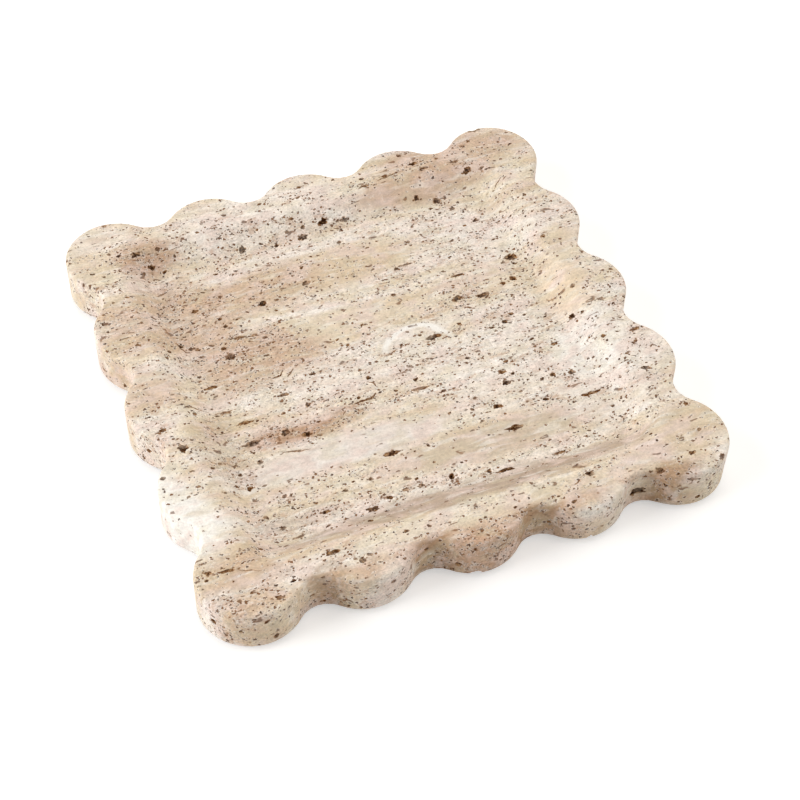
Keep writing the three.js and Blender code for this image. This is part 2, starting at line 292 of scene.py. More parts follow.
# The stone's beds, as patches on its plan: middle and half size in millimetres, the colour that each
# is tinted, how strongly, and how crowded its open pores are. The beds stand on edge in the slab and run
# from left to right, so a patch goes down through the whole thickness. Some patches are not beds but
# painted shade on recess walls and in the hollows of the front, and painted light on the front flanks.
patches = [
    ("pale pitted rim at the back", -28, 95, 46, 12, pale, 0.9, 0.65),
    ("pale lobe at the back left", -92, 102, 16, 7, pale, 0.6, 0.3),
    ("tan side at the back left", -100, 88, 10, 8, tan, 0.6, 0.5),
    ("stained corner at the back left", -78, 86, 14, 9, stain, 0.8, 1.0),
    ("pinker wall below it", -82, 72, 10, 6, pink, 0.6, 0.3),
    ("pale pitted wall at the back", -16, 84, 40, 7, pale, 0.9, 1.0),
    ("pitted row at the foot of the back wall", -12, 78, 36, 4, tan, 0.4, 1.2),
    ("smooth tan wall at the back right", 52, 86, 36, 8, warm_tan, 0.8, 0.1),
    ("tan rim at the back right", 74, 98, 40, 12, warm_tan, 0.85, 0.5),
    ("pale pitted bed at the back right", 54, 56, 34, 16, pale, 0.95, 0.85),
    ("smooth tan bed at the back", -8, 54, 52, 12, tan, 0.85, 0.3),
    ("browner part of it on the left", -36, 54, 24, 14, warm_tan, 0.7, 0.55),
    ("rosy bed on the left", -68, 48, 22, 28, warm_tan, 0.75, 0.9),
    ("smooth cream bed in the middle", -11, 24, 26, 9, cream, 0.8, 0.2),
    ("warm bed on the left", -48, 15, 28, 18, warm_tan, 0.95, 0.9),
    ("pitted row on the right", 52, 12, 34, 8, cream, 0.3, 1.0),
    ("pale pitted bed on the right", 62, -6, 22, 12, pale, 0.7, 0.95),
    ("pale stone round the vein", 14, 5, 13, 6, pale, 0.7, 0.4),
    ("pale finely pitted bed", -20, -6, 56, 11, pale, 0.85, 0.9),
    ("tan streak in the middle", -4, -23, 24, 3, tan, 0.7, 0.9),
    ("stained pitted row", -46, -27, 25, 6, stain, 0.95, 1.0),
    ("pale smooth bed", -34, -44, 48, 9, dull_white, 0.9, 0.03),
    ("pale pitted bed on the right of it", 50, -38, 36, 12, pale, 0.75, 0.85),
    ("smooth tan bed at the front", 30, -59, 50, 8, dull_tan, 0.95, 0.06),
    ("finely pitted bed at the front", 4, -72, 76, 5, pale, 0.6, 1.0),
    # Painted shade: the greyer tan darkens the front and left walls of the recess, which lie in shade, and
    # the creases at their feet; the pores there are the stone's own.
    ("crowded pores and painted shade at the foot of the front wall", -66, -70, 20, 5, painted_shade_tan, 0.45, 1.2),
    ("painted shade on the wall at the front", 0, -82, 86, 7, painted_shade_tan, 0.95, 0.15),
    ("painted shade on the wall on the left", -82, -26, 8, 14, painted_shade_tan, 0.25, 0.7),
    ("pitted foot of the left wall with faint painted shade", -76, -37, 8, 11, painted_shade_tan, 0.1, 1.0),
    ("white wall on the right", 84, -29, 16, 20, white, 0.7, 0.4),
    ("warm wall on the right", 86, 2, 12, 16, warm_cream, 0.7, 0.2),
    ("white streak on the right", 92, 43, 14, 4, white, 0.6, 0.7),
    ("tan rim on the right", 90, 30, 10, 6, tan, 0.6, 0.4),
    ("pale lobe on the right", 100, -42, 10, 14, pale, 0.7, 0.5),
    ("pink rim at the back right", 104, 44, 10, 16, pale_pink, 0.8, 0.6),
    ("pale stone at the front right", 80, -58, 20, 13, pale, 0.65, 0.5),
    ("tan corner at the front right", 96, -90, 14, 14, tan, 0.5, 0.25),
    ("pink rim at the front right", 76, -94, 12, 7, pink, 0.8, 0.1),
    ("cream rim at the front", 0, -99, 60, 9, cream, 0.6, 0.4),
    # Painted shade: a warm tan darkens the front faces of the lobes, which face away from the lamps; the
    # pores there are the stone's own.
    ("warm painted shade along the front edge", 10, -105, 88, 5, warm_tan, 0.9, 0.45),
    ("rusty lobe in the middle of the front", -4, -110, 20, 5, stain, 0.8, 1.1),
    # Painted shade: brown darkens the hollows between the front lobes, and paints the shadow that the fourth
    # lobe casts on the flank of the last one.
    ("painted shade in the hollow after the first front lobe", -65, -103, 10, 5, brown, 0.6, 0.6),
    ("painted shade in the hollow after the second front lobe", -22, -103, 8, 5, brown, 0.75, 0.7),
    ("painted shade in the hollow after the third front lobe", 24, -103, 10, 5, brown, 0.8, 0.6),
    ("painted shadow on the flank at the front right", 79, -106, 12, 6, brown, 0.8, 0.5),
    # Painted light: pale stone brightens the flanks of the front lobes that face the brighter side on the
    # right; the pores there are the stone's own.
    ("painted light on the flank of the second front lobe", -34, -108, 7, 5, pale, 0.6, 0.5),
    ("painted light on the flank of the fourth front lobe", 57, -108, 8, 5, pale, 0.75, 0.5),
    ("painted light on the flank of the last front lobe", 107, -101, 6, 9, pale, 0.5, 0.4),
    ("tan lobe at the front left", -90, -91, 18, 9, warm_tan, 0.6, 0.4),
    ("stained edge at the front left", -95, -104, 14, 7, warm_tan, 0.6, 0.95),
    ("white lobe on the left", -104, -56, 12, 24, white, 0.95, 0.1),
    ("pale pitted rim on the left", -101, -12, 11, 11, pale, 0.7, 0.95),
    ("tan rim on the left", -98, 12, 12, 12, warm_tan, 0.6, 0.3),
    ("rosy rim on the left", -100, 46, 12, 16, warm_tan, 0.7, 0.7),
]


def put(tree, kind, inputs=None, **settings):
    """A new node with its settings, its inputs set to values or joined to the outputs of other nodes."""
    made = tree.nodes.new(kind)
    for name, value in settings.items():
        setattr(made, name, value)
    for name, value in (inputs or {}).items():
        if isinstance(value, bpy.types.NodeSocket):
            tree.links.new(value, made.inputs[name])
        else:
            made.inputs[name].default_value = value
    return made


def reckon(tree, operation, first, second=0.0):
    """The result of one operation on two numbers."""
    return put(tree, "ShaderNodeMath", {0: first, 1: second}, operation=operation).outputs[0]


def shift(tree, operation, first, second):
    """The result of one operation on two vectors."""
    return put(tree, "ShaderNodeVectorMath", {0: first, 1: second}, operation=operation).outputs[0]


def stretch(tree, vector, factor):
    """A vector made longer or shorter."""
    return put(tree, "ShaderNodeVectorMath", {0: vector, "Scale": factor}, operation="SCALE").outputs[0]


def spread(tree, value, low, high, to_low=0.0, to_high=1.0):
    """A value taken smoothly from one range to another, and held at its ends."""
    inputs = {"Value": value, "From Min": low, "From Max": high, "To Min": to_low, "To Max": to_high}
    return put(tree, "ShaderNodeMapRange", inputs, interpolation_type="SMOOTHSTEP").outputs["Result"]


def mix_values(tree, share, first, second):
    """A share of the second number, and the rest of the first."""
    return put(tree, "ShaderNodeMix", {0: share, 2: first, 3: second}).outputs[0]


def mix_colours(tree, share, first, second):
    """A share of the second colour, and the rest of the first."""
    return put(tree, "ShaderNodeMix", {0: share, 6: first, 7: second}, data_type="RGBA").outputs[2]


def grain(tree, place, lengths, detail=2.0):
    """Noise whose grain has the given lengths along X, Y and Z, in millimetres."""
    scaled = shift(tree, "MULTIPLY", place, tuple(1 / length for length in lengths))
    return put(tree, "ShaderNodeTexNoise", {"Vector": scaled, "Scale": 1.0, "Detail": detail}).outputs["Fac"]


def drift(tree, place, lengths, reach):
    """Places moved by smooth noise, so that what is laid out on them wanders."""
    wander = reckon(tree, "SUBTRACT", grain(tree, place, lengths), 0.5)
    return shift(tree, "ADD", place, shift(tree, "MULTIPLY", wander, reach))


def lay_beds_and_painted_light(tree, place):
    """The colour of the stone's beds, with the painted shade and painted light among its patches, and how
    crowded their open pores are, with 0 for none.
    """
    patch_middle, patch_end = 0.6, 1.3
    broad_waves = drift(tree, place, lengths=(60, 26, 30), reach=(24, 10, 0))
    bed_place = drift(tree, broad_waves, lengths=(14, 4, 7), reach=(14, 8, 0))
    streaks = grain(tree, bed_place, lengths=(110, 7, 40), detail=3)
    colour = mix_colours(tree, spread(tree, streaks, 0.36, 0.5), tan, cream)
    colour = mix_colours(tree, spread(tree, streaks, 0.5, 0.64), colour, pale)
    share = spread(tree, streaks, 0.4, 0.6, 0.4, 0.8)
    for _, x, y, half_length, half_width, tint, strength, pores in patches:
        away = shift(tree, "SUBTRACT", bed_place, (x, y, 0))
        part = shift(tree, "MULTIPLY", away, (1 / half_length, 1 / half_width, 0))
        far = put(tree, "ShaderNodeVectorMath", {0: part}, operation="LENGTH").outputs["Value"]
        mask = spread(tree, far, patch_end, patch_middle)
        colour = mix_colours(tree, reckon(tree, "MULTIPLY", mask, strength), colour, tint)
        share = mix_values(tree, mask, share, pores)
    clumps = grain(tree, bed_place, lengths=(11, 5.5, 8))
    return colour, reckon(tree, "MULTIPLY", share, spread(tree, clumps, 0.36, 0.62, 0.4, 1.25))


def note(tree, surface, name, value, kind="FLOAT"):
    """A surface or points, with a value noted at each point under a name."""
    inputs = {"Geometry": surface, "Name": name, "Value": value}
    made = put(tree, "GeometryNodeStoreNamedAttribute", inputs, data_type=kind, domain="POINT")
    return made.outputs[0]


def noted(tree, name):
    """The number that was noted under a name."""
    return put(tree, "GeometryNodeInputNamedAttribute", {"Name": name}, data_type="FLOAT").outputs[0]


def bed_and_painted_light_tree():
    """Notes on a surface the colour of the stone's beds there, with the painted shade and painted light among
    the patches, and how crowded its open pores are.
    """
    tree = bpy.data.node_groups.new("beds", "GeometryNodeTree")
    tree.interface.new_socket("Surface", in_out="INPUT", socket_type="NodeSocketGeometry")
    tree.interface.new_socket("Marked", in_out="OUTPUT", socket_type="NodeSocketGeometry")
    here = put(tree, "GeometryNodeInputPosition").outputs[0]
    colour, share = lay_beds_and_painted_light(tree, stretch(tree, here, 1 / MM))
    surface = put(tree, "NodeGroupInput").outputs[0]
    coloured = note(tree, surface, "bed_and_painted_light_colour", colour, kind="FLOAT_COLOR")
    put(tree, "NodeGroupOutput", {0: note(tree, coloured, "pore_share", share)})
    return tree


def pore_tree():
    """Scatters pores over a surface, as closed lumps to be cut away from it."""
    tree = bpy.data.node_groups.new("pores", "GeometryNodeTree")
    sizes = {
        "Spacing": "NodeSocketFloat",
        "Most Per Area": "NodeSocketFloat",
        "Least Half Length": "NodeSocketFloat",
        "Greatest Half Length": "NodeSocketFloat",
        "Sides": "NodeSocketInt",
        "Rings": "NodeSocketInt",
        "Seed": "NodeSocketInt",
        "Stone": "NodeSocketMaterial",
    }
    tree.interface.new_socket("Surface", in_out="INPUT", socket_type="NodeSocketGeometry")
    for name, kind in sizes.items():
        tree.interface.new_socket(name, in_out="INPUT", socket_type=kind)
    tree.interface.new_socket("Pores", in_out="OUTPUT", socket_type="NodeSocketGeometry")
    given = put(tree, "NodeGroupInput").outputs

    def chance(low, high, step):
        seed = reckon(tree, "ADD", given["Seed"], step)
        return put(tree, "FunctionNodeRandomValue", {2: low, 3: high, "Seed": seed}).outputs[1]

    here = put(tree, "GeometryNodeInputPosition").outputs[0]
    normal = put(tree, "GeometryNodeInputNormal").outputs[0]
    upward = put(tree, "ShaderNodeSeparateXYZ", {0: normal}).outputs[2]
    open_on_underside = 0.1
    closed_below = spread(tree, upward, -0.9, -0.5, open_on_underside, 1.0)
    points = put(tree, "GeometryNodeDistributePointsOnFaces", {
        "Mesh": given["Surface"],
        "Distance Min": given["Spacing"],
        "Density Max": given["Most Per Area"],
        "Density Factor": reckon(tree, "MULTIPLY", noted(tree, "pore_share"), closed_below),
        "Seed": given["Seed"],
    }, distribute_method="POISSON").outputs["Points"]

    rarity_of_large_ones = 2.2
    rare = reckon(tree, "POWER", chance(0.0, 1.0, 1), rarity_of_large_ones)
    half_length = mix_values(tree, rare, given["Least Half Length"], given["Greatest Half Length"])
    sized = note(tree, points, "half_length", half_length)
    own_length = noted(tree, "half_length")
    shape = put(tree, "ShaderNodeCombineXYZ", {
        0: 1.0, 1: chance(0.4, 0.8, 2), 2: chance(0.6, 1.1, 3),
    }).outputs[0]
    turn = put(tree, "ShaderNodeCombineXYZ", {
        0: chance(-0.3, 0.3, 4), 1: chance(-0.3, 0.3, 5), 2: chance(-0.5, 0.5, 6),
    }).outputs[0]
    lump = put(tree, "GeometryNodeMeshUVSphere", {
        "Segments": given["Sides"], "Rings": given["Rings"], "Radius": 1.0,
    }).outputs[0]
    lumps = put(tree, "GeometryNodeInstanceOnPoints", {
        "Points": sized, "Instance": lump, "Rotation": turn, "Scale": stretch(tree, shape, own_length),
    }).outputs[0]
    loose = put(tree, "GeometryNodeRealizeInstances", {0: lumps}).outputs[0]
    bumps_per_half_length = 1.2
    push_in_half_lengths = 1.2
    finely = stretch(tree, here, reckon(tree, "DIVIDE", bumps_per_half_length, own_length))
    rugged = put(tree, "ShaderNodeTexNoise", {"Vector": finely, "Scale": 1.0, "Detail": 1.0}).outputs["Color"]
    either_way = shift(tree, "SUBTRACT", rugged, (0.5, 0.5, 0.5))
    pushed = stretch(tree, either_way, reckon(tree, "MULTIPLY", own_length, push_in_half_lengths))
    shaped = put(tree, "GeometryNodeSetPosition", {"Geometry": loose, "Offset": pushed}).outputs[0]
    put(tree, "NodeGroupOutput", {
        0: put(tree, "GeometryNodeSetMaterial", {"Geometry": shaped, "Material": given["Stone"]}).outputs[0],
    })
    return tree


def grown(surface, tree, values):
    """What a tree makes of a surface, as plain mesh."""
    modifier = surface.modifiers.new(tree.name, "NODES")
    modifier.node_group = tree
    for item in tree.interface.items_tree:
        if item.in_out == "INPUT" and item.name in values:
            modifier[item.identifier] = values[item.name]
    ready = bpy.context.evaluated_depsgraph_get()
    made = bpy.data.meshes.new_from_object(surface.evaluated_get(ready), depsgraph=ready)
    surface.modifiers.remove(modifier)
    return made


def cut_away(body, lumps):
    """Cuts a mesh of closed lumps out of a body."""
    cutter = bpy.data.objects.new("lumps", lumps)
    bpy.context.scene.collection.objects.link(cutter)
    modifier = body.modifiers.new("cut", "BOOLEAN")
    modifier.operation = "DIFFERENCE"
    modifier.solver = "MANIFOLD"
    modifier.object = cutter
    ready = bpy.context.evaluated_depsgraph_get()
    body.data = bpy.data.meshes.new_from_object(body.evaluated_get(ready), depsgraph=ready)
    body.modifiers.remove(modifier)
    bpy.data.objects.remove(cutter)


# The cavities, where the stone was already hollow when it was cut, as the solid has them: middle in plan,
# half length along the beds and half width across them, in millimetres.
cavities = [
    # Back rim and the wall below it
    (54, 98, 2.2, 1.2), (57, 93.5, 2.4, 0.9), (72, 92.5, 2.4, 1), (76, 86.5, 1.8, 1.6),
    (-81, 87.5, 2.4, 1.5), (4, 82, 2, 1.8), (13.5, 80.5, 2.2, 1.4), (-7, 78, 2.4, 1.7),
    (58, 78, 2, 1.4), (-76, 81.5, 1.8, 1.4),
    # Back half of the floor
    (-16, 51, 2, 1.3), (-37.5, 46, 2.2, 1.6), (28.5, 45.5, 2.6, 0.7), (74, 33, 3, 2),
    (46.5, 31, 2.6, 0.8), (-47, 29.5, 2.4, 0.8), (-60.5, 21.5, 2.6, 1.6), (42, 18, 3, 1.6),
    (52.5, 16, 3, 1.3), (69.5, 20.5, 1.8, 1.4), (-73.5, 8, 2.8, 0.8), (23, 1, 3.6, 1.6),
    # Front half of the floor
    (-72, -7, 3, 0.7), (-47, -6.5, 2.2, 1), (-66, -15, 2.8, 1), (6.5, -24, 4, 0.9),
    (-67, -26.5, 3, 1.7), (-53, -26, 2, 1.7), (-45, -30, 2.2, 1.5), (41, -34, 1.8, 1.4),
    (69, -38.5, 2, 1.3), (32.5, -44.5, 2, 1.2), (-17, -51.5, 3.2, 1.3), (71, -52, 4, 1),
    (34.5, -57.5, 3.2, 1.4), (-34.5, -75, 2.8, 1.3), (22.5, -76, 3.4, 1.1), (46, -76, 2.6, 0.8),
    (-65.5, -77, 3, 0.7),
    # Rims on the right, the left and the front
    (96, -11, 2, 0.8), (101, -32, 2.4, 0.9), (95, -53.5, 2, 1.3), (91, -100.5, 2.4, 0.9),
    (-95, -25, 2.2, 1.8), (49, -95, 2, 1.3), (-58, -93.5, 2.8, 1), (-97.5, -87, 2.8, 0.9),
    (-83, -105.5, 2.4, 1),
    # Lesser ones in the back half
    (28, 92, 1.8, 0.8), (39, 95, 1.6, 0.8), (82.5, 85, 1.8, 0.9), (-35, 79.5, 1.7, 1.5),
    (49, 81.5, 1.3, 1.4), (69, 60.5, 1.4, 1.1), (-66, 52, 1.6, 1), (64, 19.5, 1.5, 1),
    (-54, 30.5, 1.6, 0.8), (-74, 31.5, 1.5, 1), (89.5, 33.5, 1.6, 1), (-95.5, 35, 1.4, 0.8),
    # Lesser ones in the front half
    (-39.5, -15, 1.4, 1.2), (69.5, -21.5, 1.6, 1.1), (42, -28, 1.3, 1), (61, -37, 1.2, 1),
    (-75.5, -47.5, 1.4, 1), (-52, -69.5, 1.6, 1), (-12.5, -71, 1.8, 1), (-19, -70.5, 1.6, 0.9),
    (0.5, -71, 1.3, 1.6), (15.5, -74, 1.2, 1.1), (82, -12, 1.6, 1.4), (98, -38.5, 1.6, 0.9),
    (92, -43, 1.6, 0.8), (101, -77, 1.2, 0.8), (-99.5, -13, 1.6, 0.9), (-104.5, -85.5, 1.6, 1),
    (-82, -80, 2.4, 0.7), (-49, -101, 1.3, 1.2),
]

# Partings between the beds that stand open, each as the places that it runs through in plan and its half
# width, in millimetres.
partings = [
    ([(-0.5, -2), (3, -1.5), (6.5, 0)], 0.35),
    ([(-21.5, -22), (-17.5, -21.5), (-14, -21.5), (-11, -19.5)], 0.7),
    ([(-12.5, -12.5), (-10, -14), (-9, -17)], 0.4),
    ([(-29, -14.5), (-26.5, -14), (-24, -15)], 0.3),
    ([(-56, 31), (-53, 30.5), (-50, 30)], 0.6),
    ([(-87.5, -2.5), (-81.5, -4), (-78, -5.5)], 0.35),
    ([(-42, 2), (-38, 5.5)], 0.4),
    ([(-48.5, 3.5), (-44.5, 4), (-42.5, 6.5)], 0.45),
    ([(-58, -35), (-54, -36), (-51, -37), (-46.5, -37.5)], 0.4),
    ([(34, 93.3), (37, 93.7), (41, 94.5), (46.5, 95.5)], 0.45),
    ([(77, 3), (80, 1.5)], 0.5),
    ([(83.5, 72.5), (88.5, 76)], 0.3),
    ([(-101.5, 40.5), (-97, 40.5)], 0.4),
    ([(-79, 36.5), (-78.5, 33), (-76.5, 30.5)], 0.4),
    ([(-79, 65.5), (-73.5, 67.5)], 0.4),
    ([(-93.5, -88.5), (-90.5, -89.5), (-85.5, -91.5)], 0.3),
    ([(40.5, -98), (44, -96.5)], 0.4),
]

# Chips out of the edges and hollows in the sides: middle, with its height above the underside, half length
# and half width, in millimetres.
chips = [
    (75, -104, 20, 2.4, 1.5), (101.5, -106.5, 20, 2, 1.3), (89.5, 110, 20, 3, 1.6),
    (-5.5, -109.5, 0.5, 3, 2), (43.5, -111.5, 0.5, 2.6, 1.6), (67.5, -101.5, 8, 4.2, 2.2),
]


def rugged_lumps(name, lumps, fineness):
    """One mesh of closed, rugged lumps, each given by its middle, half length and half width."""
    broad, fine = 1.6 * MM, 0.7 * MM
    broad_swell, fine_swell = 0.6, 0.45
    mesh = bmesh.new()
    for middle, half_length, half_width in lumps:
        size = Vector((half_length, half_width, half_width)) * MM
        for corner in bmesh.ops.create_icosphere(mesh, subdivisions=fineness, radius=1)["verts"]:
            place = middle + size * corner.co
            swell = 1 + broad_swell * noise.noise(place / broad) + fine_swell * noise.noise(place / fine)
            corner.co = middle + size * corner.co * swell
    return finished(mesh, name)


def cavity_lumps(smooth_slab):
    """The cavities and chips as one mesh of lumps, and the small hollows round the cavities as another."""
    surface = BVHTree.FromObject(smooth_slab, bpy.context.evaluated_depsgraph_get())
    down = Vector((0, 0, -1))
    above = slab_high.z + 10 * MM
    lumps = []
    hollows = []
    hollows_round_each = 4
    draw = random.Random(5)
    for x, y, half_length, half_width in cavities:
        top, *_ = surface.ray_cast(Vector((x * MM, y * MM, above)), down)
        lumps.append((top, half_length, half_width))
        for hollow in range(hollows_round_each):
            angle = 2 * math.pi * (hollow + draw.uniform(-0.3, 0.3)) / hollows_round_each
            reach = draw.uniform(1.35, 1.9)
            beside = (x + reach * half_length * math.cos(angle), y + reach * half_width * math.sin(angle))
            place, *_ = surface.ray_cast(Vector((beside[0] * MM, beside[1] * MM, above)), down)
            own_width = draw.uniform(0.25, 0.5)
            hollows.append((place, own_width * draw.uniform(1.0, 1.8), own_width))
    for x, y, height, half_length, half_width in chips:
        lumps.append((Vector((x * MM, y * MM, slab_low.z + height * MM)), half_length, half_width))
    return [rugged_lumps("cavities", lumps, 3), rugged_lumps("hollows", hollows, 1)]


def parting_lumps(smooth_slab):
    """The open partings as one mesh of closed, wavering, tapered blades."""
    mesh = bmesh.new()
    surface = BVHTree.FromObject(smooth_slab, bpy.context.evaluated_depsgraph_get())
    down = Vector((0, 0, -1))
    above = slab_high.z + 10 * MM
    sides = 6
    step_length = 0.7
    depth_in_half_widths = 1.5
    waver_length, waver_reach = 1.7, 0.5
    uneven_height, unevenness = 9, 0.7
    for places, half_width in partings:
        stops = []
        for start, end in zip(places, places[1:]):
            start, end = Vector(start), Vector(end)
            steps = max(2, round((end - start).length / step_length))
            stops += [start.lerp(end, step / steps) for step in range(steps)]
        stops.append(Vector(places[-1]))
        rings = []
        for index, stop in enumerate(stops):
            ahead = stops[min(index + 1, len(stops) - 1)] - stops[max(index - 1, 0)]
            across = Vector((-ahead.y, ahead.x)).normalized()
            waver = waver_reach * noise.noise(Vector((stop.x, stop.y, 0)) / waver_length)
            taper = math.sin(math.pi * (index + 0.5) / len(stops)) ** 0.5
            uneven = 1 + unevenness * noise.noise(Vector((stop.x, stop.y, uneven_height)))
            own_width = half_width * taper * uneven
            middle = stop + across * waver
            top, *_ = surface.ray_cast(Vector((middle.x * MM, middle.y * MM, above)), down)
            ring = []
            for side in range(sides):
                angle = 2 * math.pi * side / sides
                out = across * own_width * math.cos(angle)
                up = depth_in_half_widths * own_width * math.sin(angle)
                ring.append(mesh.verts.new(top + Vector((out.x, out.y, up)) * MM))
            rings.append(ring)
        for ring, next_ring in zip(rings, rings[1:]):
            for side in range(sides):
                mesh.faces.new((ring[side - 1], ring[side], next_ring[side], next_ring[side - 1]))
        mesh.faces.new(rings[0])
        mesh.faces.new(rings[-1][::-1])
    bmesh.ops.triangulate(mesh, faces=mesh.faces)
    bmesh.ops.recalc_face_normals(mesh, faces=mesh.faces)
    return finished(mesh, "partings")


def mark_depths(pitted, smooth):
    """Notes how far each point of the pitted slab lies under the smooth one."""
    surface = BVHTree.FromPolygons(
        [corner.co for corner in smooth.vertices], [face.vertices for face in smooth.polygons])
    depths = [surface.find_nearest(corner.co)[3] for corner in pitted.vertices]
    pitted.attributes.new("pit_depth", "FLOAT", "POINT").data.foreach_set("value", depths)


def stone_material():
    """Honed travertine: wavering beds of cream, tan and white, with a fine grain, and open pores that are
    dark partly from the soil in them and partly from painted shade.
    """
    material = bpy.data.materials.new("travertine")
    material.use_nodes = True
    tree = material.node_tree
    shader = tree.nodes["Principled BSDF"]
    place = stretch(tree, put(tree, "ShaderNodeTexCoord").outputs["Object"], 1 / MM)
    colour = put(tree, "ShaderNodeAttribute", attribute_name="bed_and_painted_light_colour").outputs["Color"]
    share = put(tree, "ShaderNodeAttribute", attribute_name="pore_share").outputs["Fac"]

    # Thin beds of paler and darker stone, and clouds of pinker and greener
    wavering = drift(tree, place, lengths=(14, 5, 7), reach=(0, 6, 0))
    laminae = grain(tree, wavering, lengths=(14, 2.8, 7))
    colour = mix_colours(tree, spread(tree, laminae, 0.5, 0.7, to_high=0.42), colour, white)
    colour = mix_colours(tree, spread(tree, laminae, 0.48, 0.28, to_high=0.3), colour, warm_tan)
    cloud = grain(tree, place, lengths=(13, 7, 10))
    colour = mix_colours(tree, spread(tree, cloud, 0.5, 0.66, to_high=0.55), colour, pink)
    colour = mix_colours(tree, spread(tree, cloud, 0.5, 0.34, to_high=0.32), colour, olive)

    # Crystal grain, stronger where the stone is open
    fine = grain(tree, place, lengths=(1.0, 0.8, 0.9))
    mottle = grain(tree, place, lengths=(4, 2.6, 3))
    darkest_grain = spread(tree, share, 0.0, 0.8, 0.9, 0.76)
    lightest_grain = spread(tree, share, 0.0, 0.8, 1.06, 1.15)
    value = put(tree, "ShaderNodeMapRange", {
        "Value": fine, "From Min": 0.3, "From Max": 0.66, "To Min": darkest_grain, "To Max": lightest_grain,
    }).outputs["Result"]
    value = reckon(tree, "MULTIPLY", value, spread(tree, mottle, 0.3, 0.7, 0.92, 1.07))
    colour = stretch(tree, colour, value)

    # A white vein that bends over one of the cavities
    vein_middle, vein_radius, vein_strength = (15.5, -6, 0), 15.6, 0.9
    across = shift(tree, "MULTIPLY", shift(tree, "SUBTRACT", wavering, vein_middle), (1, 1, 0))
    reach = put(tree, "ShaderNodeVectorMath", {0: across}, operation="LENGTH").outputs["Value"]
    off_vein = reckon(tree, "ABSOLUTE", reckon(tree, "SUBTRACT", reach, vein_radius))
    beyond = put(tree, "ShaderNodeSeparateXYZ", {0: across}).outputs[1]
    vein = reckon(tree, "MULTIPLY", spread(tree, off_vein, 2.2, 0.4), spread(tree, beyond, 3.0, 9.0))
    colour = mix_colours(tree, reckon(tree, "MULTIPLY", vein, vein_strength), colour, white)

    # Pinholes and short dashes, crowded along wavering partings between the beds, their dark partly earth and
    # partly painted shade
    ripples = put(tree, "ShaderNodeTexNoise", {"Vector": place, "Scale": 1.1, "Detail": 2.0}).outputs["Color"]
    ripple_reach = 1.8
    either_way = shift(tree, "SUBTRACT", ripples, (0.5, 0.5, 0.5))
    uneven = shift(tree, "ADD", place, stretch(tree, either_way, ripple_reach))
    between_beds = grain(tree, wavering, lengths=(15, 3.6, 7), detail=1)
    parting = reckon(tree, "ABSOLUTE", reckon(tree, "SUBTRACT", between_beds, 0.5))
    crowd = grain(tree, wavering, lengths=(8, 4, 6))
    crowded = reckon(tree, "MULTIPLY", share, spread(tree, parting, 0.12, 0.02, 0.7, 1.5))
    crowded = reckon(tree, "MULTIPLY", crowded, spread(tree, crowd, 0.42, 0.6, 0.35, 1.7))
    rusty = spread(tree, crowded, 0.7, 1.5, to_high=0.5)
    rusty = reckon(tree, "MULTIPLY", rusty, spread(tree, mottle, 0.4, 0.6))
    colour = mix_colours(tree, rusty, colour, stain)

    def openings(lengths, least, greatest, chance):
        """Small holes scattered through the stone, the pale crumbs round them, and a number for each hole."""
        scaled = shift(tree, "MULTIPLY", uneven, tuple(1 / length for length in lengths))
        cells = put(tree, "ShaderNodeTexVoronoi", {"Vector": scaled, "Scale": 1.0}).outputs
        draw = put(tree, "ShaderNodeSeparateColor", {0: cells["Color"]}).outputs
        kept = reckon(tree, "LESS_THAN", draw[1], reckon(tree, "MULTIPLY", crowded, chance))
        range_of_widths = {"Value": draw[0], "To Min": least, "To Max": greatest}
        width = put(tree, "ShaderNodeMapRange", range_of_widths).outputs[0]
        beyond = reckon(tree, "SUBTRACT", cells["Distance"], width)
        holes = reckon(tree, "MULTIPLY", kept, spread(tree, beyond, 0.02, -0.08))
        crumbs = reckon(tree, "MULTIPLY", kept, spread(tree, beyond, 0.25, 0.05))
        return holes, crumbs, draw[2]

    pinholes, crumbs, own = openings((1.8, 1.3, 1.5), least=0.14, greatest=0.44, chance=0.95)
    dashes, _, _ = openings((4.5, 1.8, 2.0), least=0.1, greatest=0.28, chance=0.4)
    open_stretches = spread(tree, grain(tree, place, lengths=(5, 4, 5), detail=1), 0.64, 0.7, to_high=0.8)
    cracks = reckon(tree, "MULTIPLY", spread(tree, parting, 0.05, 0.02), open_stretches)
    opened = reckon(tree, "MAXIMUM", reckon(tree, "MAXIMUM", pinholes, dashes), cracks)
    crumb_strength, hole_strength = 0.4, 0.96
    colour = mix_colours(tree, reckon(tree, "MULTIPLY", crumbs, crumb_strength), colour, white)
    # Painted shade: the holes, dashes and cracks are coloured dark brown, partly earth and partly the shade
    # inside them.
    dark = mix_colours(tree, own, paint(80, 50, 26), paint(140, 94, 54))
    colour = mix_colours(tree, reckon(tree, "MULTIPLY", opened, hole_strength), colour, dark)

    # Earth in the open pores, with painted shade that darkens them the more the deeper they lie
    depth = put(tree, "ShaderNodeAttribute", attribute_name="pit_depth").outputs["Fac"]
    sunk = spread(tree, depth, 0.03 * MM, 0.4 * MM)
    deep = spread(tree, depth, 0.45 * MM, 1.3 * MM)
    brown_earth, dry_earth, deepest_painted_shade = paint(128, 85, 50), paint(192, 152, 110), paint(88, 54, 28)
    earth_and_shade = mix_colours(tree, spread(tree, fine, 0.38, 0.62), brown_earth, dry_earth)
    # Painted shade: the deepest parts of the pores turn darkest brown, and the share of the earth colour also
    # grows with depth.
    painted_depth_shade = reckon(tree, "MULTIPLY", deep, spread(tree, fine, 0.7, 0.5))
    earth_and_shade = mix_colours(tree, painted_depth_shade, earth_and_shade, deepest_painted_shade)
    filled = spread(tree, grain(tree, place, lengths=(8, 6, 7)), 0.38, 0.58, 0.55, 1.0)
    colour = mix_colours(tree, reckon(tree, "MULTIPLY", sunk, filled), colour, earth_and_shade)

